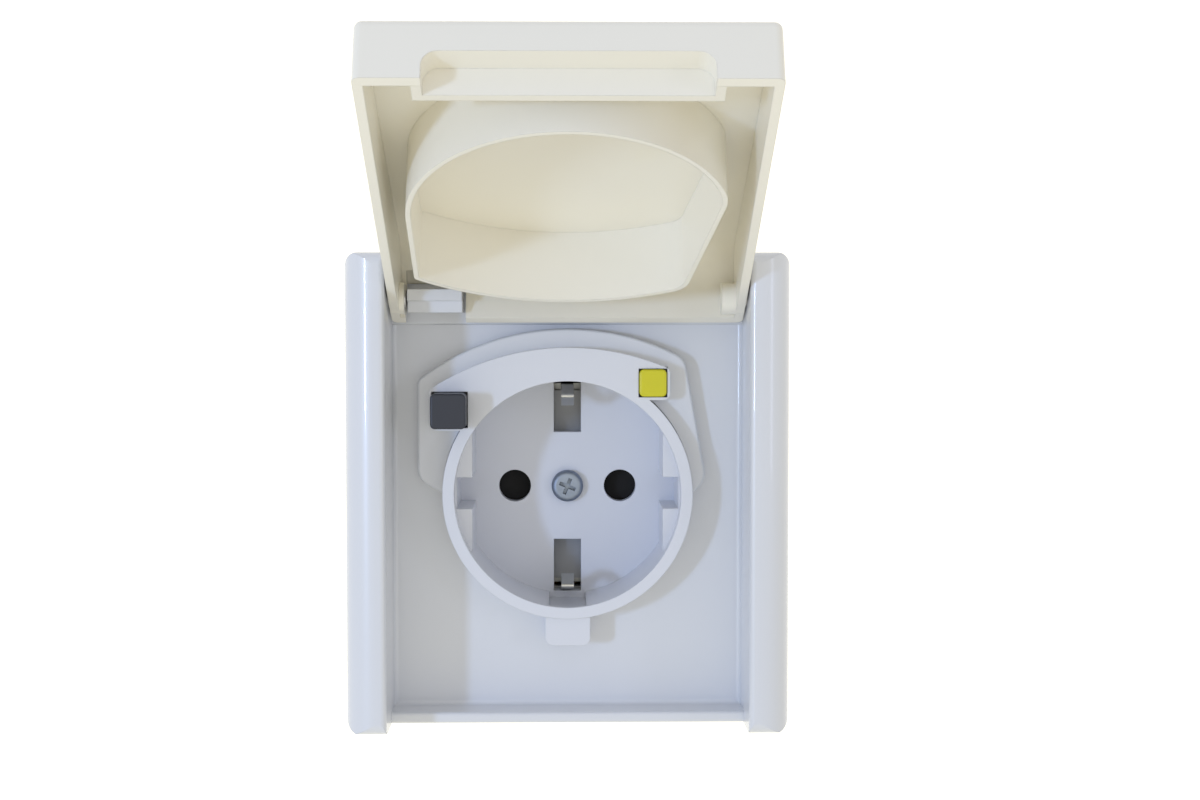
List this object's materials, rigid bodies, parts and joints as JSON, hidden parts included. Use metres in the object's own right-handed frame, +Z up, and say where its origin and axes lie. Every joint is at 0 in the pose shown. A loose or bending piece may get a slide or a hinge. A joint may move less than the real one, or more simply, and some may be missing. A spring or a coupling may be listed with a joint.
{
  "type": "residual current device socket",
  "caption": "Flush residual current device socket-outlet for a wall box, with a hinged splash lid, earth clips and reset and test buttons.",
  "frame": {"origin": "on the axis of the round plug recess, in the plane of the wall", "axes": "+Z up as mounted, +X to the right as seen from the front, -Y out of the wall towards the viewer"},
  "size_m": [0.075, 0.113, 0.1121],
  "materials": {
    "frame_plastic": "smooth",
    "insert_plastic": "smooth",
    "lid_plastic": "smooth",
    "dark_button": "smooth",
    "yellow_button": "smooth",
    "grey_plastic": "fine texture",
    "base_plastic": "satin",
    "black_plastic": "satin",
    "natural_plastic": "satin",
    "foam": "closed-cell foam",
    "plated_steel": "zinc plated",
    "screw_steel": "bright",
    "spring_steel": "drawn wire",
    "brass": "satin",
    "spring_bronze": "satin",
    "spring_nickel": "nickel plated",
    "copper_wire": "enamelled",
    "silver": "satin",
    "ferrite": "matt",
    "board_green": "solder mask",
    "capacitor_blue": "smooth",
    "varistor_blue": "smooth",
    "resistor_tan": "smooth"
  },
  "bodies": {
    "housing_body": {"cover_frame": "frame_plastic", "wall_gasket": "foam", "mounting_strap": "plated_steel", "strap_screws": "screw_steel", "rear_housing": "grey_plastic", "socket_cover": "insert_plastic", "cover_screw": "screw_steel", "cover_nut": "plated_steel", "contact_base": "base_plastic", "base_screws": "screw_steel", "earth_bridge": "spring_nickel", "line_contact": "spring_bronze", "neutral_contact": "spring_bronze", "shutter_springs": "spring_steel", "line_output_bar": "brass", "neutral_output_bar": "brass", "line_input_bar": "brass", "neutral_input_bar": "brass", "fixed_contact_rivets": "silver", "reset_spring": "spring_steel", "test_spring": "spring_steel", "test_strip": "spring_bronze", "latch_pin": "spring_steel", "relay_bobbin": "natural_plastic", "relay_coil": "copper_wire", "relay_yoke": "plated_steel", "transformer_core": "ferrite", "transformer_winding": "copper_wire", "line_terminal": "brass", "earth_terminal": "brass", "neutral_terminal": "brass", "terminal_screws": "screw_steel", "circuit_board": "board_green", "board_chip": "black_plastic", "board_capacitors": "capacitor_blue", "board_varistor": "varistor_blue", "board_resistors": "resistor_tan", "board_thyristor": "black_plastic"},
    "lid_body": {"lid": "lid_plastic", "hinge_pins": "spring_steel"},
    "reset_body": {"reset_button": "dark_button", "contact_carrier": "black_plastic", "line_bridge": "brass", "neutral_bridge": "brass", "moving_contact_rivets": "silver"},
    "test_body": {"test_button": "yellow_button"},
    "shutter_body": {"shutter": "black_plastic"},
    "plunger_body": {"trip_plunger": "plated_steel"},
    "latch_body": {"trip_latch": "plated_steel"}
  },
  "joints": [
    {"name": "lid_hinge", "type": "hinge", "parent": "housing_body", "child": "lid_body", "pos_m": [0, -0.013, 0.0338], "axis": [1, 0, 0], "range_deg": [0, 115]},
    {"name": "reset_push", "type": "slide", "parent": "housing_body", "child": "reset_body", "axis": [0, 1, 0], "range_m": [0, 0.004], "stiffness_N_per_m": 400, "deforming": ["reset_spring"]},
    {"name": "test_push", "type": "slide", "parent": "housing_body", "child": "test_body", "axis": [0, 1, 0], "range_m": [0, 0.0015], "stiffness_N_per_m": 300, "deforming": ["test_spring"]},
    {"name": "shutter_slide", "type": "slide", "parent": "housing_body", "child": "shutter_body", "axis": [0, 0, 1], "range_m": [0, 0.006], "stiffness_N_per_m": 40, "deforming": ["shutter_springs"]},
    {"name": "trip_plunger_slide", "type": "slide", "parent": "housing_body", "child": "plunger_body", "axis": [-1, 0, 0], "range_m": [0, 0.0012]},
    {"name": "trip_latch_turn", "type": "hinge", "parent": "housing_body", "child": "latch_body", "pos_m": [-0.02, 0.016, 0.002], "axis": [0, 1, 0], "range_deg": [0, 5]}
  ],
  "couplings": [
    {"joint": "trip_latch_turn", "follows": "trip_plunger_slide", "rad_per_m": 69}
  ]
}
